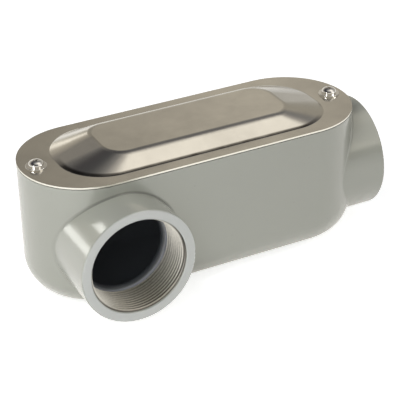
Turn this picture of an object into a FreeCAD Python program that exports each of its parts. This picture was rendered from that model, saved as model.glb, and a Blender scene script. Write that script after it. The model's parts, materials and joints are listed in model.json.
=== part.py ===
import FreeCAD, Part
import math
import os

# Two-hub conduit body, cover upwards. Millimetres. The flat back lies on z = 0 and the origin
# is its centre. +X points out of the end hub, -Y out of the side hub, +Z out of the cover.

# ---- driving dimensions ----------------------------------------------------------------

# hubs: 2 inch taper pipe thread, kept as a plain bore at the roots of the thread
thread_root_r = 29.6
thread_length = 24.6        # hub face to the bushing's shoulder
mouth_chamfer = 0.5
hub_wall = 5.9
hub_rim_round = 1.0
side_hub_foot_round = 0.8   # fillet where the side hub meets the housing
end_hub_foot_round = 2.0
side_hub_reach = 22.5       # hub face beyond the housing's side
end_hub_reach = 10.8        # hub face beyond the housing's round end
side_hub_inset = 2.4        # side hub's axis, inboard of the centre of the round end

# integral bushing at the bottom of each thread
bushing_throat_r = 25.9
bushing_thickness = 4.0
bushing_round = 1.9

# housing
straight_length = 134.4     # between the centres of the two round ends
wall = 4.5
back_wall = 4.5
back_round = 22.0           # outer radius round the back edge
hub_side_step = 1.0         # inside of the housing's side, beyond the hub's outer radius
hub_back_step = 0.5         # hub's lowest line, above the inside of the back
hub_rim_gap = 6.5           # hub's highest line, below the housing's rim
collar_bed = 0.4            # how deep the hub's inner collar runs into the walls beside it

# cover screws (No. 10, 24 to the inch), washers and their bosses
screw_from_end = 9.7        # screw axis to the end of the cover
screw_core_r = 1.95
screw_engagement = 6.3      # thread held in the casting
screw_tip_chamfer = 0.5
tap_clearance = 0.1         # radial, between the screw's core and the tapped hole
tap_runout = 2.0            # hole below the screw's tip
screw_hole_clearance = 0.8  # radial, in cover, gasket and washer
head_r = 4.55
head_side = 0.9             # height of the head's upright edge
head_height = 3.4
recess_reach = 2.3          # cross recess, from the axis to the tip of an arm
recess_width = 1.25
recess_depth = 1.8
recess_taper = 0.6          # bottom of the recess, as a fraction of its top
washer_r = 6.35
washer_thickness = 1.0
washer_round = 0.3
boss_r = 5.5
boss_depth = 9.0            # upright part of the boss, below the rim
boss_slope_drop = 12.0      # sloping web below it, down to the end wall

# gasket and cover
gasket_thickness = 0.5
gasket_edge_gap = 1.0       # gasket's outer edge, inside the housing's side
gasket_side_land = 5.9
gasket_screw_land = 8.0     # gasket inboard of each screw's axis
gasket_corner_r = 28.0
sheet = 1.0                 # cover's sheet
pan_side_margin = 8.4       # flat flange along the cover's sides
pan_end_margin = 21.7       # flat flange at the cover's ends
pan_rise = 6.75
pan_side_run = 11.4         # width of the long slopes, in plan
pan_end_run = 26.0          # length of the end ramps, in plan
pan_foot_corner_r = 28.0
pan_top_corner_r = 14.0
pan_foot_round = 2.6
pan_top_round = 9.0

# ---- dependent sizes -------------------------------------------------------------------

hub_r = thread_root_r + hub_wall
half_width = hub_r + hub_side_step + wall
arc_x = straight_length / 2
half_length = arc_x + half_width

axis_z = back_wall + hub_back_step + hub_r
rim_z = axis_z + hub_r + hub_rim_gap
cover_z = rim_z + gasket_thickness
flange_z = cover_z + sheet
head_z = flange_z + washer_thickness

side_hub_x = side_hub_inset - arc_x
side_face = half_width + side_hub_reach
end_face = half_length + end_hub_reach
collar_r = half_width - wall + collar_bed

screw_x = half_length - screw_from_end
screw_hole_r = screw_core_r + screw_hole_clearance
tap_r = screw_core_r + tap_clearance
tap_bottom_z = rim_z - screw_engagement - tap_runout
screw_tip_z = rim_z - screw_engagement

O = FreeCAD.Vector(0, 0, 0)
X = FreeCAD.Vector(1, 0, 0)
Y = FreeCAD.Vector(0, 1, 0)
Z = FreeCAD.Vector(0, 0, 1)


# ---- plan outlines ---------------------------------------------------------------------

def rounded_plan(half_x, half_y, corner_r, z):
    """Closed wire round a rectangle with round corners, at height z."""
    edges = []
    corners = [(1, 1, 0), (-1, 1, 90), (-1, -1, 180), (1, -1, 270)]
    ends = []
    for sx, sy, start in corners:
        centre = FreeCAD.Vector(sx * (half_x - corner_r), sy * (half_y - corner_r), z)
        arc = Part.makeCircle(corner_r, centre, Z, start, start + 90)
        edges.append(arc)
        ends.append((arc.valueAt(arc.FirstParameter), arc.valueAt(arc.LastParameter)))
    outline = []
    for i, arc in enumerate(edges):
        outline.append(arc)
        here = ends[i][1]
        there = ends[(i + 1) % 4][0]
        if here.distanceToPoint(there) > 1e-4:
            outline.append(Part.makeLine(here, there))
    return Part.Wire(outline)


def slab(wire, height):
    """Prism on a plan outline."""
    return Part.Face(wire).extrude(Z * height)


def stadium(inset, z):
    """Plan of the housing, drawn in by inset on every side."""
    r = half_width - inset
    return rounded_plan(arc_x + r, r, r, z)


def edges_at(shape, test):
    """Edges of a shape whose every sampled point passes the test."""
    found = []
    for edge in shape.Edges:
        points = edge.discretize(5)
        if all(test(p) for p in points):
            found.append(edge)
    return found


# ---- housing casting -------------------------------------------------------------------

def lying_cylinder(radius, axis, start, end):
    """Cylinder along a hub's axis, from start to end measured outwards from the centre."""
    if axis == "end":
        return Part.makeCylinder(radius, end - start, FreeCAD.Vector(start, 0, axis_z), X)
    base = FreeCAD.Vector(side_hub_x, -start, axis_z)
    return Part.makeCylinder(radius, end - start, base, Y * -1)


def round_rim(hub, axis, face, radius, size):
    """Rounds the edge of the given radius on a hub's face."""
    def on_rim(p):
        along = p.x if axis == "end" else -p.y
        across = p.y if axis == "end" else p.x - side_hub_x
        return abs(along - face) < 1e-3 and abs(math.hypot(across, p.z - axis_z) - radius) < 1e-3
    return hub.makeFillet(size, edges_at(hub, on_rim))


def hub_blank(axis, start, face):
    """Outside of a hub, solid, with its rounded rim."""
    hub = lying_cylinder(hub_r, axis, start, face)
    return round_rim(hub, axis, face, hub_r, hub_rim_round)


def hub_hole(axis, face):
    """Everything cut out of a hub: mouth, threaded bore and the bushing's rounded throat."""
    shoulder = face - thread_length
    inner = shoulder - bushing_thickness
    s = bushing_round
    q = s * (1 - math.sqrt(0.5))
    # half section: x is the distance out from the housing's centre, y the radius
    start = 0.0
    corner_in = (inner, bushing_throat_r + s)
    corner_out = (shoulder, bushing_throat_r + s)
    def at(along, radius):
        return FreeCAD.Vector(along, radius, 0)
    lines = [
        Part.makeLine(at(start, 0), at(face + 1, 0)),
        Part.makeLine(at(face + 1, 0), at(face + 1, thread_root_r + mouth_chamfer + 1)),
        Part.makeLine(at(face + 1, thread_root_r + mouth_chamfer + 1),
                      at(face - mouth_chamfer, thread_root_r)),
        Part.makeLine(at(face - mouth_chamfer, thread_root_r), at(shoulder, thread_root_r)),
        Part.makeLine(at(shoulder, thread_root_r), at(*corner_out)),
        Part.Arc(at(*corner_out), at(shoulder - q, bushing_throat_r + q),
                 at(shoulder - s, bushing_throat_r)).toShape(),
        Part.makeLine(at(shoulder - s, bushing_throat_r), at(inner + s, bushing_throat_r)),
        Part.Arc(at(inner + s, bushing_throat_r), at(inner + q, bushing_throat_r + q),
                 at(*corner_in)).toShape(),
        Part.makeLine(at(*corner_in), at(start, bushing_throat_r + s)),
        Part.makeLine(at(start, bushing_throat_r + s), at(start, 0)),
    ]
    hole = Part.Face(Part.Wire(lines)).revolve(O, X, 360)
    if axis == "side":
        hole.rotate(O, Z, -90)
        hole.translate(FreeCAD.Vector(side_hub_x, 0, axis_z))
    else:
        hole.translate(FreeCAD.Vector(0, 0, axis_z))
    return hole


def cavity_blank():
    """Inside of the housing, with the back edge rounded to keep the wall even."""
    inside = slab(stadium(wall, back_wall), rim_z - back_wall + 1)
    floor = edges_at(inside, lambda p: abs(p.z - back_wall) < 1e-3)
    return inside.makeFillet(back_round - wall, floor)


def screw_boss(side):
    """Boss for a cover screw: round towards the middle, with a web sloping into the end."""
    low_z = rim_z - boss_depth - boss_slope_drop
    height = rim_z - low_z
    inner_x = screw_x - boss_r
    outer_x = half_length - wall / 2
    post = Part.makeCylinder(boss_r, height, FreeCAD.Vector(screw_x, 0, low_z), Z)
    web = Part.makeBox(outer_x - screw_x, 2 * boss_r, height,
                       FreeCAD.Vector(screw_x, -boss_r, low_z))
    profile = [(inner_x - 1, rim_z), (inner_x - 1, rim_z - boss_depth), (outer_x, low_z),
               (outer_x, rim_z)]
    points = [FreeCAD.Vector(x, -boss_r - 1, z) for x, z in profile]
    side_view = Part.Face(Part.makePolygon(points + points[:1]))
    boss = post.fuse(web).common(side_view.extrude(Y * (2 * boss_r + 2)))
    if side < 0:
        boss = boss.mirror(O, X)
    return boss


def housing():
    block = slab(stadium(0, 0), rim_z)
    block = block.makeFillet(back_round, edges_at(block, lambda p: abs(p.z) < 1e-3))
    blank = block.fuse([hub_blank("side", 0, side_face), hub_blank("end", arc_x, end_face)])

    def on_side_foot(p):
        across = math.hypot(p.x - side_hub_x, p.z - axis_z)
        return p.y < -1 and abs(across - hub_r) < 1e-3 and -p.y < side_face - hub_rim_round - 1

    def on_end_foot(p):
        across = math.hypot(p.y, p.z - axis_z)
        return p.x > arc_x and abs(across - hub_r) < 1e-3 and p.x < end_face - hub_rim_round - 1
    blank = blank.makeFillet(side_hub_foot_round, edges_at(blank, on_side_foot))
    blank = blank.makeFillet(end_hub_foot_round, edges_at(blank, on_end_foot))

    shell = blank.cut(cavity_blank())
    inside = cavity_blank()
    reach = bushing_thickness + thread_length
    side_collar = lying_cylinder(collar_r, "side", side_face - reach, side_face)
    end_collar = lying_cylinder(collar_r, "end", end_face - reach, end_face)
    bosses = [screw_boss(-1), screw_boss(1)]
    inner = side_collar.fuse([end_collar] + bosses).common(block)
    body = shell.fuse(inner)
    holes = [hub_hole("side", side_face), hub_hole("end", end_face)]
    for side in (-1, 1):
        base = FreeCAD.Vector(side * screw_x, 0, tap_bottom_z)
        holes.append(Part.makeCylinder(tap_r, rim_z - tap_bottom_z + 1, base, Z))
    return body.cut(holes).removeSplitter()


# ---- gasket, cover, washers and screws -------------------------------------------------

def screw_holes(low_z, high_z):
    holes = []
    for side in (-1, 1):
        base = FreeCAD.Vector(side * screw_x, 0, low_z - 1)
        holes.append(Part.makeCylinder(screw_hole_r, high_z - low_z + 2, base, Z))
    return holes


def gasket():
    sheet_blank = slab(stadium(gasket_edge_gap, rim_z), gasket_thickness)
    opening = rounded_plan(screw_x - gasket_screw_land,
                           half_width - gasket_edge_gap - gasket_side_land,
                           gasket_corner_r, rim_z - 1)
    cuts = [slab(opening, gasket_thickness + 2)] + screw_holes(rim_z, cover_z)
    return sheet_blank.cut(cuts)


def pressed_form(base_z):
    """Flat flange and raised pan as one solid lump, its flange one sheet above base_z."""
    top_z = base_z + sheet
    flange = slab(stadium(0, base_z), sheet)
    foot_x = half_length - pan_end_margin
    foot_y = half_width - pan_side_margin
    foot = rounded_plan(foot_x, foot_y, pan_foot_corner_r, top_z)
    crown = rounded_plan(foot_x - pan_end_run, foot_y - pan_side_run, pan_top_corner_r,
                         top_z + pan_rise)
    pan = Part.makeLoft([foot, crown], True, True)
    form = flange.fuse(pan)
    crown_edges = edges_at(form, lambda p: abs(p.z - top_z - pan_rise) < 1e-3)
    form = form.makeFillet(pan_top_round, crown_edges)
    foot_edges = edges_at(form, lambda p: abs(p.z - top_z) < 1e-3
                          and abs(p.y) < foot_y + 0.01 and abs(p.x) < foot_x + 0.01)
    return form.makeFillet(pan_foot_round, foot_edges)


def cover():
    form = pressed_form(cover_z)
    underside = pressed_form(cover_z - sheet)
    return form.cut([underside] + screw_holes(cover_z, flange_z)).removeSplitter()


def washer(side):
    base = FreeCAD.Vector(side * screw_x, 0, flange_z)
    ring = Part.makeCylinder(washer_r, washer_thickness, base, Z)
    rim = edges_at(ring, lambda p: abs(math.hypot(p.x - base.x, p.y) - washer_r) < 1e-3
                   and abs(p.z - head_z) < 1e-3)
    ring = ring.makeFillet(washer_round, rim)
    hole = Part.makeCylinder(screw_hole_r, washer_thickness + 2, base - Z, Z)
    return ring.cut(hole)


def cross_recess(top_z):
    """Tapering cross cut into a screw's head."""
    arms = []
    for half_x, half_y in ((recess_reach, recess_width / 2), (recess_width / 2, recess_reach)):
        wires = []
        for z, k in ((top_z + 1, 1.0), (top_z - recess_depth, recess_taper)):
            corners = [(-1, -1), (1, -1), (1, 1), (-1, 1), (-1, -1)]
            points = [FreeCAD.Vector(sx * half_x * k, sy * half_y * k, z) for sx, sy in corners]
            wires.append(Part.makePolygon(points))
        arms.append(Part.makeLoft(wires, True, True))
    return arms[0].fuse(arms[1])


def screw(side):
    """Round-topped head on a plain core; the section is turned about Z."""
    top_z = head_z + head_height
    c = screw_tip_chamfer
    dome = head_height - head_side
    # the dome is a quarter ellipse, drawn as an arc through its half-way point
    ellipse = Part.Ellipse(FreeCAD.Vector(head_r, 0, head_z + head_side),
                           FreeCAD.Vector(0, 0, top_z), FreeCAD.Vector(0, 0, head_z + head_side))
    dome_edge = Part.ArcOfEllipse(ellipse, 0, math.pi / 2).toShape()
    def at(radius, z):
        return FreeCAD.Vector(radius, 0, z)
    lines = [
        Part.makeLine(at(0, screw_tip_z), at(screw_core_r - c, screw_tip_z)),
        Part.makeLine(at(screw_core_r - c, screw_tip_z), at(screw_core_r, screw_tip_z + c)),
        Part.makeLine(at(screw_core_r, screw_tip_z + c), at(screw_core_r, head_z)),
        Part.makeLine(at(screw_core_r, head_z), at(head_r, head_z)),
        Part.makeLine(at(head_r, head_z), at(head_r, head_z + head_side)),
        dome_edge,
        Part.makeLine(at(0, top_z), at(0, screw_tip_z)),
    ]
    turned = Part.Face(Part.Wire(lines)).revolve(O, Z, 360)
    turned = turned.cut(cross_recess(top_z))
    turned.translate(FreeCAD.Vector(side * screw_x, 0, 0))
    return turned


# ---- write one file for each piece -----------------------------------------------------

pieces = {
    "housing_casting": housing(),
    "cover_gasket": gasket(),
    "cover": cover(),
    "washer_left": washer(-1),
    "washer_right": washer(1),
    "cover_screw_left": screw(-1),
    "cover_screw_right": screw(1),
}

os.makedirs("parts", exist_ok=True)
for name, shape in pieces.items():
    if shape.ShapeType == "Compound" and len(shape.Solids) == 1:
        shape = shape.Solids[0]
    shape.exportStep("parts/" + name + ".step")
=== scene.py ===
import json
import math

import bmesh
import bpy
from mathutils import Matrix, Vector


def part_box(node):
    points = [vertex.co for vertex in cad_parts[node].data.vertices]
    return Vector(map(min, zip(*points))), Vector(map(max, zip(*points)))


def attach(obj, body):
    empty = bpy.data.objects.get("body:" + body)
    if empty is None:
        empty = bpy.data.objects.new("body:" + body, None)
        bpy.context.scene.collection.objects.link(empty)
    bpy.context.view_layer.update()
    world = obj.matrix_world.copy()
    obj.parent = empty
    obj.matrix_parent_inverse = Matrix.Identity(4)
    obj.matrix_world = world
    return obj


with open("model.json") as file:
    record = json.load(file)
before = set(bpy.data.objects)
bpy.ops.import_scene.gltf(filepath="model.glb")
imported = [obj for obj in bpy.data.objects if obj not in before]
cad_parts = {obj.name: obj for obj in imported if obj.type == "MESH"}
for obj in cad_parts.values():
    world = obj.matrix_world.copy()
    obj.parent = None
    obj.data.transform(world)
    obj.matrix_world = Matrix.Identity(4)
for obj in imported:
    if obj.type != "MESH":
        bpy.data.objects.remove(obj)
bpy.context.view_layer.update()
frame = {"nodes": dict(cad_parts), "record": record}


# ---- housing casting ----
# One aluminium casting, machined at the hubs and the rim, then powder coated light grey.
# The hub threads are cut through the coat to bright metal; the inside is painted dark as shade.

MM = 0.001
WALL = 4.5 * MM
BACK_ROUND = 22 * MM
HUB_R = 35.5 * MM
THROAT_R = 25.9 * MM
BUSHING_THICKNESS = 4 * MM
MOUTH_CHAMFER = 0.5 * MM

mounts = {m["name"]: m for m in frame["record"]["mounts"]}
casting_low, casting_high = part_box("housing_casting")
HALF_WIDTH = casting_high.y
RIM_Z = casting_high.z
ARC_X = -casting_low.x - HALF_WIDTH         # centre of each round end
AXIS_Z = mounts["end_hub"]["pos_m"][2]
SIDE_X = mounts["side_hub"]["pos_m"][0]
SIDE_FACE_Y = mounts["side_hub"]["pos_m"][1]
END_FACE_X = mounts["end_hub"]["pos_m"][0]
ROOT_R = mounts["end_hub"]["dims"]["r_mm"] * MM
THREAD_LENGTH = mounts["end_hub"]["dims"]["length_mm"] * MM + MOUTH_CHAMFER

COAT = (0.425, 0.430, 0.375, 1)
COAT_PALE = (0.440, 0.445, 0.390, 1)
COAT_SPECK = (0.270, 0.270, 0.235, 1)
# painted shade in the corner at the side hub's foot
PAINTED_CORNER_SHADE = (0.130, 0.130, 0.112, 1)
# painted light on the hub faces
PAINTED_FACE_LIGHT = (0.600, 0.610, 0.580, 1)
# painted highlight on the bushing's shoulder
PAINTED_BUSHING_HIGHLIGHT = (0.900, 0.900, 0.940, 1)
# painted shade inside the casting
PAINTED_HOLLOW_SHADE = (0.085, 0.092, 0.102, 1)
# bare thread roots, painted dark as shade in the grooves
ROOT_METAL_SHADE = (0.14, 0.13, 0.115, 1)

COAT_FLAKE = 0.18                           # share of the coat that acts as bright flake
COAT_ROUGH = (0.18, 0.25)
HOLLOW_ROUGH = 0.7
ROOT_ROUGH = 0.42
PEEL_DEPTH = 0.10 * MM                      # orange peel of the coat
GLAZE = 0.5
GLAZE_ROUGH = 0.08

MOUTH_COATED = 1.7 * MM                     # coat left in the mouth, ahead of the cut thread
FACE_LIGHT_FADE = (0.05 * MM, 0.6 * MM)          # depths over which the painted light on the hub face ends
SHOULDER_FADE = (THROAT_R + 1.0 * MM, THROAT_R + 2.2 * MM)
CORNER_BODY_FADE = (0.15 * MM, 0.8 * MM)    # painted shade at the side hub's foot, fading off the body
CORNER_HUB_FADE = (HUB_R + 0.5 * MM, HUB_R + 1.6 * MM)
CORNER_SPAN = (-20 * MM, 25 * MM)           # from below left of the hub to above right
CORNER_SHARE = (0.12, 0.8)

# how far the masks reach past the faces that they pick out
BORE_MARGIN = 0.25 * MM
SHOULDER_MARGIN = 0.05 * MM
BUSHING_MARGIN = 0.1 * MM
BODY_MARGIN = 0.2 * MM
WALL_MARGIN = 0.6 * MM
RIM_MARGIN = 0.2 * MM


def link_or_set(tree, socket, value):
    """Joins an output socket to an input, or writes a plain number, vector or colour there."""
    if isinstance(value, bpy.types.NodeSocket):
        tree.links.new(value, socket)
    else:
        socket.default_value = value


def calc(tree, operation, *values):
    """Output of a Math node on numbers or sockets."""
    node = tree.nodes.new("ShaderNodeMath")
    node.operation = operation
    for socket, value in zip(node.inputs, values):
        link_or_set(tree, socket, value)
    return node.outputs[0]


def product(tree, first, *others):
    """All the values multiplied together."""
    for other in others:
        first = calc(tree, "MULTIPLY", first, other)
    return first


def components(tree, vector):
    """The x, y and z of a vector."""
    node = tree.nodes.new("ShaderNodeSeparateXYZ")
    tree.links.new(vector, node.inputs[0])
    return node.outputs


def distance_2d(tree, a, b):
    """Length of the diagonal across a and b."""
    return calc(tree, "SQRT", calc(tree, "ADD", product(tree, a, a), product(tree, b, b)))


def past_arc(tree, x):
    """Distance along the body beyond the centre of a round end, zero between the two."""
    return calc(tree, "MAXIMUM", calc(tree, "SUBTRACT", calc(tree, "ABSOLUTE", x), ARC_X), 0.0)


def blend_colour(tree, factor, first, second):
    """Colour between first and second."""
    node = tree.nodes.new("ShaderNodeMix")
    node.data_type = "RGBA"
    link_or_set(tree, node.inputs["Factor"], factor)
    link_or_set(tree, node.inputs["A"], first)
    link_or_set(tree, node.inputs["B"], second)
    return node.outputs["Result"]


def noise(tree, place, scale, detail=3.0, roughness=0.5, stretch=(1, 1, 1)):
    """Noise factor over the object's own coordinates, scale in features per metre."""
    mapping = tree.nodes.new("ShaderNodeMapping")
    mapping.inputs["Scale"].default_value = stretch
    tree.links.new(place, mapping.inputs["Vector"])
    node = tree.nodes.new("ShaderNodeTexNoise")
    node.inputs["Scale"].default_value = scale
    node.inputs["Detail"].default_value = detail
    node.inputs["Roughness"].default_value = roughness
    tree.links.new(mapping.outputs[0], node.inputs["Vector"])
    return node.outputs["Fac"]


def spread(tree, value, low, high, to_low, to_high):
    """Maps low..high onto to_low..to_high and clamps."""
    node = tree.nodes.new("ShaderNodeMapRange")
    link_or_set(tree, node.inputs["Value"], value)
    node.inputs["From Min"].default_value = low
    node.inputs["From Max"].default_value = high
    node.inputs["To Min"].default_value = to_low
    node.inputs["To Max"].default_value = to_high
    return node.outputs["Result"]


def bump(tree, height, distance, strength):
    """Normal from a height."""
    node = tree.nodes.new("ShaderNodeBump")
    node.inputs["Distance"].default_value = distance
    node.inputs["Strength"].default_value = strength
    tree.links.new(height, node.inputs["Height"])
    return node.outputs["Normal"]


def new_material(name):
    """Material with a Principled shader: its tree, that shader and the object coordinates."""
    material = bpy.data.materials.new(name)
    material.use_nodes = True
    tree = material.node_tree
    place = tree.nodes.new("ShaderNodeTexCoord").outputs["Object"]
    return material, tree, tree.nodes["Principled BSDF"], place


def new_group(name, numbers_in, numbers_out, vectors_in=()):
    """Shader node group with named sockets: its tree, its given inputs and its outputs."""
    tree = bpy.data.node_groups.new(name, "ShaderNodeTree")
    sockets = tree.interface
    for label in vectors_in:
        sockets.new_socket(name=label, in_out="INPUT", socket_type="NodeSocketVector")
    for label in numbers_in:
        sockets.new_socket(name=label, in_out="INPUT", socket_type="NodeSocketFloat")
    for label in numbers_out:
        sockets.new_socket(name=label, in_out="OUTPUT", socket_type="NodeSocketFloat")
    given = tree.nodes.new("NodeGroupInput").outputs
    return tree, given, tree.nodes.new("NodeGroupOutput").inputs


def use_group(tree, group, **values):
    """Places a group with its values and gives its outputs."""
    node = tree.nodes.new("ShaderNodeGroup")
    node.node_tree = group
    for name, value in values.items():
        link_or_set(tree, node.inputs[name], value)
    return node.outputs


def hub_zone_group():
    """Masks for one hub, from the depth behind its face and the distance from its axis."""
    tree, given, out = new_group("Hub Zones", ("Depth", "Radius"),
                                 ("Thread", "Bushing", "Shoulder", "Face"))
    depth, radius = given["Depth"], given["Radius"]
    bushing_end = THREAD_LENGTH + BUSHING_THICKNESS
    in_bore = calc(tree, "LESS_THAN", radius, ROOT_R + BORE_MARGIN)
    past_mouth = calc(tree, "GREATER_THAN", depth, MOUTH_COATED)
    past_thread = calc(tree, "GREATER_THAN", depth, THREAD_LENGTH - SHOULDER_MARGIN)
    before_end = calc(tree, "LESS_THAN", depth, bushing_end + BUSHING_MARGIN)
    thread = product(tree, in_bore, past_mouth, calc(tree, "SUBTRACT", 1.0, past_thread))
    bushing = product(tree, in_bore, past_thread, before_end)
    shoulder = product(tree, bushing, spread(tree, radius, *SHOULDER_FADE, 0, 1))
    tree.links.new(thread, out["Thread"])
    tree.links.new(bushing, out["Bushing"])
    tree.links.new(shoulder, out["Shoulder"])
    tree.links.new(spread(tree, depth, *FACE_LIGHT_FADE, 1, 0), out["Face"])
    return tree


def body_depth(tree, x, y, z):
    """Depth under the long body's rounded outer face, negative outside it."""
    across = distance_2d(tree, past_arc(tree, x), y)
    out = calc(tree, "MAXIMUM", calc(tree, "SUBTRACT", across, HALF_WIDTH - BACK_ROUND), 0.0)
    below = calc(tree, "MAXIMUM", calc(tree, "SUBTRACT", BACK_ROUND, z), 0.0)
    return calc(tree, "SUBTRACT", BACK_ROUND, distance_2d(tree, out, below))


def painted_corner_shade(tree, depth, hub_radius, right_and_up, y):
    """Mask of painted shade in the corner where the side hub leaves the body, darker above right.
    """
    off_body = calc(tree, "ABSOLUTE", calc(tree, "ADD", depth, BODY_MARGIN))
    return product(tree, spread(tree, off_body, *CORNER_BODY_FADE, 1, 0),
                   spread(tree, hub_radius, *CORNER_HUB_FADE, 1, 0),
                   spread(tree, right_and_up, *CORNER_SPAN, *CORNER_SHARE),
                   calc(tree, "LESS_THAN", y, 0.0))


def housing_finish():
    """Grey coat outside; painted shade inside, at the side hub's foot and on the bare thread
    roots; painted light on the machined rings.
    """
    material, tree, shader, place = new_material("powder_coat_light_grey")
    x, y, z = components(tree, place)
    right = calc(tree, "SUBTRACT", x, SIDE_X)
    up = calc(tree, "SUBTRACT", z, AXIS_Z)
    zones = hub_zone_group()
    side_radius = distance_2d(tree, right, up)
    side = use_group(tree, zones, Radius=side_radius,
                     Depth=calc(tree, "SUBTRACT", y, SIDE_FACE_Y))
    end = use_group(tree, zones, Radius=distance_2d(tree, y, up),
                    Depth=calc(tree, "SUBTRACT", END_FACE_X, x))
    thread, bushing, shoulder, face = (calc(tree, "MAXIMUM", side[mask], end[mask])
                                       for mask in ("Thread", "Bushing", "Shoulder", "Face"))
    depth = body_depth(tree, x, y, z)
    hollow = product(tree, calc(tree, "GREATER_THAN", depth, WALL - WALL_MARGIN),
                     calc(tree, "LESS_THAN", z, RIM_Z - RIM_MARGIN),
                     calc(tree, "SUBTRACT", 1.0, thread))
    hollow_shade = calc(tree, "SUBTRACT", calc(tree, "MAXIMUM", hollow, bushing), shoulder)
    corner = painted_corner_shade(tree, depth, side_radius, calc(tree, "ADD", right, up), y)

    specks = spread(tree, noise(tree, place, scale=700, detail=1), 0.76, 0.82, 0, 0.3)
    colour = blend_colour(tree, noise(tree, place, scale=14, detail=2), COAT, COAT_PALE)
    for mask, over in ((specks, COAT_SPECK), (corner, PAINTED_CORNER_SHADE), (face, PAINTED_FACE_LIGHT),
                       (shoulder, PAINTED_BUSHING_HIGHLIGHT), (hollow_shade, PAINTED_HOLLOW_SHADE), (thread, ROOT_METAL_SHADE)):
        colour = blend_colour(tree, mask, colour, over)
    tree.links.new(colour, shader.inputs["Base Color"])
    flake = spread(tree, calc(tree, "MAXIMUM", hollow_shade, bushing), 0, 1, COAT_FLAKE, 0)
    tree.links.new(calc(tree, "MAXIMUM", flake, thread), shader.inputs["Metallic"])

    satin = spread(tree, noise(tree, place, scale=60, detail=3), 0.3, 0.7, *COAT_ROUGH)
    dull = calc(tree, "MAXIMUM", product(tree, hollow_shade, HOLLOW_ROUGH),
                product(tree, thread, ROOT_ROUGH))
    tree.links.new(calc(tree, "MAXIMUM", satin, dull), shader.inputs["Roughness"])
    peel = product(tree, noise(tree, place, scale=420, detail=2), 0.25)
    height = calc(tree, "ADD", peel, noise(tree, place, scale=45, detail=2))
    tree.links.new(bump(tree, height, PEEL_DEPTH, 0.2), shader.inputs["Normal"])
    shader.inputs["Coat Weight"].default_value = GLAZE
    shader.inputs["Coat Roughness"].default_value = GLAZE_ROUGH
    return material


def dress(node_name, material):
    """Puts a finish on a piece of the frame."""
    slots = frame["nodes"][node_name].data.materials
    for i in range(len(slots)):
        slots[i] = material


dress("housing_casting", housing_finish())


# ---- hub threads ----
# The taper pipe thread cut in each hub, 11.5 turns to the inch: one ridge in a right-hand
# spiral, standing in from the bore's wall and running out at the mouth and at the bushing.

HUB_PITCH = 25.4 * MM / 11.5
HUB_CREST_R = 28.4 * MM
HUB_TAPER = 1 / 32              # on the radius
HUB_RIDGE_SINK = 0.06 * MM      # ridge's foot, into the bore's wall
HUB_THREAD_START = 0.6 * MM
HUB_CREST_FLAT = 0.4 * MM
HUB_STEPS = 96                  # faces in one turn
FLANK = math.tan(math.radians(30))
LEAST_RISE = 0.04               # share of the height left where a ridge has run out
SHARP_ANGLE = math.radians(25)

CREST_METAL = (0.70, 0.68, 0.62, 1)
CREST_FADE = (HUB_CREST_R + 0.1 * MM, HUB_CREST_R + 0.9 * MM)
THREAD_ROUGH = (0.32, 0.45)


def spiral_ridge(name, origin, along, pitch, base_r, crest_r, taper, first, last, steps, flat):
    """Closed ridge on a right-hand helix. It runs from first to last along the axis."""
    along = Vector(along).normalized()
    u = along.orthogonal().normalized()
    v = along.cross(u)
    top = flat / 2
    foot = top + abs(base_r - crest_r) * FLANK
    first = first + foot
    last = last - foot
    count = int(round((last - first) / pitch * steps))
    run_out = steps // 4
    mesh = bmesh.new()
    rings = []
    for i in range(count + 1):
        angle = 2 * math.pi * i / steps
        depth = first + pitch * i / steps
        rise = max(min(1.0, i / run_out, (count - i) / run_out), LEAST_RISE)
        crest = crest_r - taper * (depth - first)
        tip = base_r + (crest - base_r) * rise
        out = u * math.cos(angle) + v * math.sin(angle)
        ring = []
        for offset, radius in ((-foot, base_r), (-top, tip), (top, tip), (foot, base_r)):
            ring.append(mesh.verts.new(Vector(origin) + along * (depth + offset) + out * radius))
        rings.append(ring)
    for here, there in zip(rings, rings[1:]):
        for k in range(4):
            n = (k + 1) % 4
            mesh.faces.new((here[k], here[n], there[n], there[k]))
    mesh.faces.new(rings[0])
    mesh.faces.new(list(reversed(rings[-1])))
    bmesh.ops.recalc_face_normals(mesh, faces=mesh.faces)
    data = bpy.data.meshes.new(name)
    mesh.to_mesh(data)
    mesh.free()
    data.shade_smooth()
    data.set_sharp_from_angle(angle=SHARP_ANGLE)
    piece = bpy.data.objects.new(name, data)
    bpy.context.scene.collection.objects.link(piece)
    return piece


def thread_finish(hub_name):
    """Bright cut metal on the crests, with painted shade darkening it towards the roots."""
    material, tree, shader, place = new_material(hub_name + "_thread_metal")
    x, y, z = components(tree, place)
    across = calc(tree, "SUBTRACT", x, SIDE_X) if hub_name == "side_hub" else y
    radius = distance_2d(tree, across, calc(tree, "SUBTRACT", z, AXIS_Z))
    marks = noise(tree, place, scale=700, detail=3)
    crest = product(tree, spread(tree, radius, *CREST_FADE, 1, 0),
                    spread(tree, marks, 0.3, 0.6, 0.8, 1.0))
    colour = blend_colour(tree, crest, ROOT_METAL_SHADE, CREST_METAL)
    tree.links.new(colour, shader.inputs["Base Color"])
    shader.inputs["Metallic"].default_value = 1.0
    tree.links.new(spread(tree, marks, 0.3, 0.7, *THREAD_ROUGH), shader.inputs["Roughness"])
    tree.links.new(bump(tree, marks, 0.03 * MM, 0.5), shader.inputs["Normal"])
    return material


for hub_name in ("side_hub", "end_hub"):
    mount = mounts[hub_name]
    inward = [-c for c in mount["axis"]]
    ridge = spiral_ridge(hub_name + "_thread", mount["pos_m"], inward, HUB_PITCH,
                         ROOT_R + HUB_RIDGE_SINK, HUB_CREST_R, HUB_TAPER, HUB_THREAD_START,
                         THREAD_LENGTH, HUB_STEPS, HUB_CREST_FLAT)
    ridge.data.materials.append(thread_finish(hub_name))
    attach(ridge, "housing")


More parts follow.
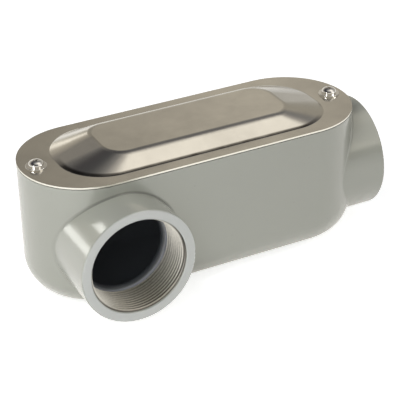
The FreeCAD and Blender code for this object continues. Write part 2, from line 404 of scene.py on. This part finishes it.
# ---- cover gasket ----
# A ring cut from black fibre-filled rubber sheet. It lies loose on the rim, nipped by the
# cover, so only its outer edge shows while the cover is on.

RUBBER = (0.018, 0.018, 0.017, 1)
RUBBER_FIBRE = (0.055, 0.053, 0.048, 1)
RUBBER_ROUGH = (0.75, 0.95)


def gasket_finish():
    """Black rubber, mottled by its fibres."""
    material, tree, shader, place = new_material("black_gasket_rubber")
    fibres = noise(tree, place, scale=1400, detail=4, roughness=0.7)
    colour = blend_colour(tree, fibres, RUBBER, RUBBER_FIBRE)
    tree.links.new(colour, shader.inputs["Base Color"])
    tree.links.new(spread(tree, fibres, 0.3, 0.7, *RUBBER_ROUGH), shader.inputs["Roughness"])
    tree.links.new(bump(tree, fibres, 0.05 * MM, 0.6), shader.inputs["Normal"])
    return material


dress("cover_gasket", gasket_finish())


# ---- cover ----
# One sheet of stainless steel, blanked and pressed with a raised pan. It keeps the mill's
# satin sheen, rolled lengthwise, with faint handling marks. The two holes take the screws.

STEEL = (0.63, 0.61, 0.562, 1)
STEEL_DULL = (0.56, 0.54, 0.495, 1)
# painted shade along the crease at the pan's foot
PAINTED_CREASE_SHADE = (0.045, 0.038, 0.030, 1)
# painted highlight on the cut edge
STEEL_EDGE_HIGHLIGHT = (0.86, 0.84, 0.76, 1)
STEEL_ROUGH = (0.13, 0.19)
CUT_ROUGH = 0.35
CUT_MARGIN = 0.08 * MM

FLANGE_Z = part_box("washer_left")[0].z
CREASE_START = (0.02 * MM, 0.08 * MM)       # heights above the flange
CREASE_END = (0.55 * MM, 1.0 * MM)
CREASE_SIDE = (-22 * MM, -10 * MM)          # along Y, turned a little towards the left end
CREASE_TURN = 0.16

MARK_DEPTH = 0.02 * MM
ROLLED = (1, 14, 14)                        # grain and scratches are drawn out lengthwise
SCRATCHED = (0.6, 9, 9)


def handling_marks_group():
    """Fine scratches and smears for bright metal: a mask and a height, from a position."""
    tree, given, out = new_group("Handling Marks", ("Grain",), ("Smear", "Height"), ("Position",))
    place = given["Position"]
    smear = noise(tree, place, scale=38, detail=4, roughness=0.6)
    grain = noise(tree, place, scale=160, detail=4, roughness=0.7, stretch=ROLLED)
    scratch = noise(tree, place, scale=90, detail=1, stretch=SCRATCHED)
    scratch = calc(tree, "ABSOLUTE", calc(tree, "SUBTRACT", scratch, 0.5))
    scratch = spread(tree, scratch, 0.0, 0.006, 1, 0)
    height = calc(tree, "ADD", product(tree, grain, given["Grain"]),
                  product(tree, scratch, -0.25))
    tree.links.new(spread(tree, smear, 0.35, 0.7, 0, 1), out["Smear"])
    tree.links.new(height, out["Height"])
    return tree


handling_marks = handling_marks_group()


def cover_finish():
    """Satin steel, with a painted highlight on the cut edge and painted shade along the crease at
    the pan's foot.
    """
    material, tree, shader, place = new_material("satin_steel")
    marks = use_group(tree, handling_marks, Position=place, Grain=1.0)
    x, y, z = components(tree, place)
    reach = distance_2d(tree, past_arc(tree, x), y)
    cut_edge_highlight = calc(tree, "GREATER_THAN", reach, HALF_WIDTH - CUT_MARGIN)

    rise = calc(tree, "SUBTRACT", z, FLANGE_Z)
    turned_y = calc(tree, "ADD", y, product(tree, x, CREASE_TURN))
    uneven = spread(tree, noise(tree, place, scale=120, detail=2), 0.2, 0.8, 0.7, 1.0)
    crease_shade = product(tree, spread(tree, rise, *CREASE_START, 0, 1),
                     spread(tree, rise, *CREASE_END, 1, 0),
                     spread(tree, turned_y, *CREASE_SIDE, 1, 0), uneven)

    colour = blend_colour(tree, marks["Smear"], STEEL, STEEL_DULL)
    colour = blend_colour(tree, crease_shade, colour, PAINTED_CREASE_SHADE)
    colour = blend_colour(tree, cut_edge_highlight, colour, STEEL_EDGE_HIGHLIGHT)
    tree.links.new(colour, shader.inputs["Base Color"])
    shader.inputs["Metallic"].default_value = 1.0
    rough = calc(tree, "MAXIMUM", spread(tree, marks["Smear"], 0, 1, *STEEL_ROUGH),
                 product(tree, cut_edge_highlight, CUT_ROUGH))
    tree.links.new(rough, shader.inputs["Roughness"])
    tree.links.new(bump(tree, marks["Height"], MARK_DEPTH, 0.3), shader.inputs["Normal"])
    return material


dress("cover", cover_finish())


# ---- washers ----
# Plain stamped steel washers, bright plated. One lies on the cover under each screw's head,
# clamped there by the screw.

PLATING = (0.80, 0.79, 0.77, 1)
PLATING_DULL = (0.72, 0.71, 0.69, 1)
PLATING_ROUGH = (0.06, 0.1)


def plating_finish():
    """Bright plating with faint handling marks."""
    material, tree, shader, place = new_material("bright_plating")
    marks = use_group(tree, handling_marks, Position=place, Grain=0.3)
    colour = blend_colour(tree, marks["Smear"], PLATING, PLATING_DULL)
    tree.links.new(colour, shader.inputs["Base Color"])
    shader.inputs["Metallic"].default_value = 1.0
    rough = spread(tree, marks["Smear"], 0, 1, *PLATING_ROUGH)
    tree.links.new(rough, shader.inputs["Roughness"])
    tree.links.new(bump(tree, marks["Height"], MARK_DEPTH, 0.3), shader.inputs["Normal"])
    return material


plated = plating_finish()
for side in ("left", "right"):
    dress("washer_" + side, plated)


# ---- cover screws ----
# Cross-recessed round-head machine screws, No. 10 with 24 turns to the inch, plated like the
# washers. The thread is a right-hand ridge on the core, from the tip up to below the head.

SCREW_PITCH = 25.4 * MM / 24
SCREW_CORE_R = 1.95 * MM
SCREW_MAJOR_R = 2.4 * MM
SCREW_RIDGE_SINK = 0.03 * MM
SCREW_TIP_PLAIN = 0.4 * MM
SCREW_NECK_PLAIN = 0.8 * MM
SCREW_CREST_FLAT = 0.14 * MM
SCREW_STEPS = 36

for side in ("left", "right"):
    node_name = "cover_screw_" + side
    dress(node_name, plated)
    low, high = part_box(node_name)
    washer_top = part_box("washer_" + side)[1].z
    tip = ((low.x + high.x) / 2, (low.y + high.y) / 2, low.z)
    ridge = spiral_ridge(node_name + "_thread", tip, (0, 0, 1), SCREW_PITCH,
                         SCREW_CORE_R - SCREW_RIDGE_SINK, SCREW_MAJOR_R, 0, SCREW_TIP_PLAIN,
                         washer_top - low.z - SCREW_NECK_PLAIN, SCREW_STEPS, SCREW_CREST_FLAT)
    ridge.data.materials.append(plated)
    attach(ridge, "screw_" + side)


# ---- studio ----
# A plain pale floor, broad soft lamps at both sides, and small ones that only pick out the
# coat or the fasteners. Bright metal and gloss see a sky that is pale low down, tan above and
# dark higher up, with a soft patch right of overhead and two pale strips, in front and behind.

WHITE = (1, 1, 1)
FLOOR = (0.90, 0.90, 0.90, 1)
FLOOR_HALF = 6.0
FLOOR_ROUGH = 0.9
FLOOR_SPECULAR = 0.1
FLOOR_GLOW_SEEN = 0.72
FLOOR_GLOW_MIRRORED = 0.56
FLOOR_TINT_MIRRORED = (1.0, 0.96, 0.89, 1)

SOFT_SKY = (0.205, 0.205, 0.21, 1)      # lights the part
CLEAR_SKY = (0.95, 0.95, 0.95, 1)       # backdrop
STRIP_SKY = (1.10, 1.05, 0.97, 1)
PATCH_TOWARD = Vector((0.450, -0.060, 0.891))


def mirrored_ray(tree, path):
    """One where metal or glass shows the surroundings."""
    return calc(tree, "MAXIMUM", path["Is Glossy Ray"], path["Is Transmission Ray"])


def studio_floor():
    """Pale floor. It stays pale to the camera and shows a little warm in the metal."""
    data = bpy.data.meshes.new("floor")
    h = FLOOR_HALF
    data.from_pydata([(-h, -h, 0), (h, -h, 0), (h, h, 0), (-h, h, 0)], [], [(0, 1, 2, 3)])
    floor = bpy.data.objects.new("floor", data)
    bpy.context.scene.collection.objects.link(floor)
    material, tree, shader, place = new_material("pale_floor")
    shader.inputs["Base Color"].default_value = FLOOR
    shader.inputs["Roughness"].default_value = FLOOR_ROUGH
    shader.inputs["Specular IOR Level"].default_value = FLOOR_SPECULAR
    path = tree.nodes.new("ShaderNodeLightPath").outputs
    mirrored = mirrored_ray(tree, path)
    glow = calc(tree, "ADD", product(tree, path["Is Camera Ray"], FLOOR_GLOW_SEEN),
                product(tree, mirrored, FLOOR_GLOW_MIRRORED))
    tint = blend_colour(tree, mirrored, (*WHITE, 1), FLOOR_TINT_MIRRORED)
    tree.links.new(tint, shader.inputs["Emission Color"])
    tree.links.new(glow, shader.inputs["Emission Strength"])
    data.materials.append(material)


def grey(level):
    """Grey of one level."""
    return (level, level, level)


def colour_ramp(tree, factor, stops):
    """Colours at their positions along the factor, blended between."""
    node = tree.nodes.new("ShaderNodeValToRGB")
    ramp = node.color_ramp.elements
    while len(ramp) < len(stops):
        ramp.new(0.5)
    for element, (position, colour) in zip(ramp, stops):
        element.position = position
        element.color = (*colour, 1)
    tree.links.new(factor, node.inputs[0])
    return node.outputs["Color"]


def vector_node(tree, operation, first):
    """Vector Math node with its first vector joined."""
    node = tree.nodes.new("ShaderNodeVectorMath")
    node.operation = operation
    tree.links.new(first, node.inputs[0])
    return node


def sky_strips(tree, x, y, z):
    """Mask of the upright pale strips: one in front of the part and a narrow one behind it."""
    front = product(tree, spread(tree, x, 0.20, 0.30, 0, 1), spread(tree, x, 0.55, 0.65, 1, 0),
                    spread(tree, y, -0.30, -0.12, 1, 0), spread(tree, z, 0.34, 0.40, 0, 1))
    behind = product(tree, spread(tree, x, 0.085, 0.105, 0, 1),
                     spread(tree, x, 0.130, 0.155, 1, 0), calc(tree, "GREATER_THAN", y, 0.0),
                     spread(tree, z, 0.14, 0.22, 0, 1), spread(tree, z, 0.36, 0.43, 1, 0))
    return calc(tree, "MAXIMUM", front, behind)


def studio_sky():
    """Even light for the part, a pale backdrop, and bands, a patch and strips for the metal."""
    world = bpy.data.worlds.new("studio")
    bpy.context.scene.world = world
    world.use_nodes = True
    tree = world.node_tree
    direction = tree.nodes.new("ShaderNodeTexCoord").outputs["Generated"]
    x, y, z = components(tree, direction)
    bands = colour_ramp(tree, z, [
        (0.00, (0.95, 0.94, 0.91)), (0.10, (0.86, 0.84, 0.80)), (0.22, (0.57, 0.54, 0.47)),
        (0.48, (0.57, 0.525, 0.445)), (0.54, (0.38, 0.355, 0.325)), (0.60, (0.21, 0.205, 0.20)),
        (0.72, (0.08, 0.075, 0.08)), (0.85, (0.04, 0.04, 0.045)), (0.95, (0.12, 0.115, 0.11)),
        (0.99, (0.42, 0.40, 0.37))])
    side = colour_ramp(tree, x, [
        (0.00, grey(0.95)), (0.14, grey(0.90)), (0.25, grey(0.60)), (0.31, grey(0.70)),
        (0.38, grey(0.99)), (0.45, grey(1.12)), (0.56, grey(0.75))])
    low_side = colour_ramp(tree, x, [
        (0.30, grey(1.30)), (0.44, grey(1.05)), (0.55, (0.84, 0.80, 0.73))])
    side = blend_colour(tree, spread(tree, z, 0.12, 0.26, 1, 0), side, low_side)
    shaded_bands = vector_node(tree, "SCALE", bands)
    tree.links.new(side, shaded_bands.inputs["Scale"])

    toward_patch = vector_node(tree, "DOT_PRODUCT", direction)
    toward_patch.inputs[1].default_value = PATCH_TOWARD
    patch = colour_ramp(tree, toward_patch.outputs["Value"], [
        (0.60, grey(0)), (0.78, grey(0.07)), (0.875, (0.20, 0.195, 0.19)),
        (0.94, (0.50, 0.47, 0.43)), (0.965, (0.90, 0.86, 0.79)), (0.985, (1.22, 1.16, 1.05))])
    patch = blend_colour(tree, sky_strips(tree, x, y, z), patch, STRIP_SKY)
    for_metal = vector_node(tree, "ADD", shaded_bands.outputs[0])
    tree.links.new(patch, for_metal.inputs[1])

    path = tree.nodes.new("ShaderNodeLightPath").outputs
    plain = blend_colour(tree, path["Is Camera Ray"], SOFT_SKY, CLEAR_SKY)
    seen = blend_colour(tree, mirrored_ray(tree, path), plain, for_metal.outputs[0])
    tree.links.new(seen, tree.nodes["Background"].inputs["Color"])


def soft_lamp(name, place, target, width, height, power, colour=WHITE):
    """Oblong lamp that faces its target and that the camera doesn't see."""
    lamp = bpy.data.lights.new(name, "AREA")
    lamp.shape = "RECTANGLE"
    lamp.size = width
    lamp.size_y = height
    lamp.energy = power
    lamp.color = colour
    holder = bpy.data.objects.new(name, lamp)
    bpy.context.scene.collection.objects.link(holder)
    holder.visible_camera = False
    holder.location = place
    facing = Vector(target) - Vector(place)
    holder.rotation_euler = facing.to_track_quat("-Z", "Y").to_euler()
    return holder


def shine_only_on(lamp, node_names):
    """Keeps a small lamp to the named pieces."""
    lit = bpy.data.collections.new("lit_by_" + lamp.name)
    for node_name in node_names:
        lit.objects.link(frame["nodes"][node_name])
    lamp.light_linking.receiver_collection = lit


studio_floor()
studio_sky()

BODY_MIDDLE = (0, 0, 0.04)
SIDE_HUB_ROOT = (-0.05, -0.03, 0.04)
COVER_MIDDLE = (0, 0, 0.085)
COOL = (0.92, 1.0, 1.06)

broad_lamps = (
    soft_lamp("left", (-1.20, -0.20, 0.42), BODY_MIDDLE, 0.9, 0.6, 1.3),
    soft_lamp("top_left", (-0.45, -0.25, 0.75), SIDE_HUB_ROOT, 0.4, 0.4, 3.2),
    soft_lamp("near_left", (-0.27, -0.34, 0.28), SIDE_HUB_ROOT, 0.25, 0.2, 0.30, COOL),
    soft_lamp("right", (1.20, -0.08, 0.30), (0.08, 0, 0.04), 0.6, 0.4, 5.0),
)
for lamp in broad_lamps:
    lamp.visible_glossy = False

coat_lamps = (
    soft_lamp("strip_behind", (-0.80, 1.0, 0.11), (-0.05, -0.05, 0.04), 1.4, 0.24, 2.3),
    soft_lamp("window_behind", (-0.50, 0.90, 0.62), (-0.07, -0.05, 0.07), 0.20, 0.16, 0.40),
)
for lamp in coat_lamps:
    shine_only_on(lamp, ["housing_casting"])

fastener_lamps = (
    soft_lamp("glint_left", (-0.70, -0.35, 0.40), COVER_MIDDLE, 0.22, 0.16, 0.9),
    soft_lamp("glint_right", (0.60, -0.50, 0.35), COVER_MIDDLE, 0.16, 0.12, 0.6),
)
for lamp in fastener_lamps:
    shine_only_on(lamp, ["cover_screw_left", "cover_screw_right", "washer_left", "washer_right"])


# ---- camera ----
# A long lens, held a little left of the front and looking down at the cover. It is turned
# slightly about its own line of sight.

CAMERA_TURN = math.radians(-27.09)
CAMERA_HEIGHT = math.radians(29.24)
CAMERA_TILT = math.radians(-1.23)
CAMERA_DISTANCE = 0.8904
CAMERA_AIM = Vector((0.00633, 0, 0.03313))
CAMERA_SENSOR = 36
CAMERA_LENS = 129.5
CAMERA_REACH = 30

camera = bpy.data.cameras.new("camera")
camera.sensor_width = CAMERA_SENSOR
camera.lens = CAMERA_LENS
camera.clip_end = CAMERA_REACH
holder = bpy.data.objects.new("camera", camera)
bpy.context.scene.collection.objects.link(holder)
back = Vector((math.sin(CAMERA_TURN) * math.cos(CAMERA_HEIGHT),
               -math.cos(CAMERA_TURN) * math.cos(CAMERA_HEIGHT), math.sin(CAMERA_HEIGHT)))
holder.location = CAMERA_AIM + back * CAMERA_DISTANCE
level_right = Vector((0, 0, 1)).cross(back).normalized()
right = level_right * math.cos(CAMERA_TILT) + back.cross(level_right) * math.sin(CAMERA_TILT)
holder.rotation_euler = Matrix((right, back.cross(right), back)).transposed().to_euler()
bpy.context.scene.camera = holder
bpy.context.scene.view_settings.view_transform = "Standard"
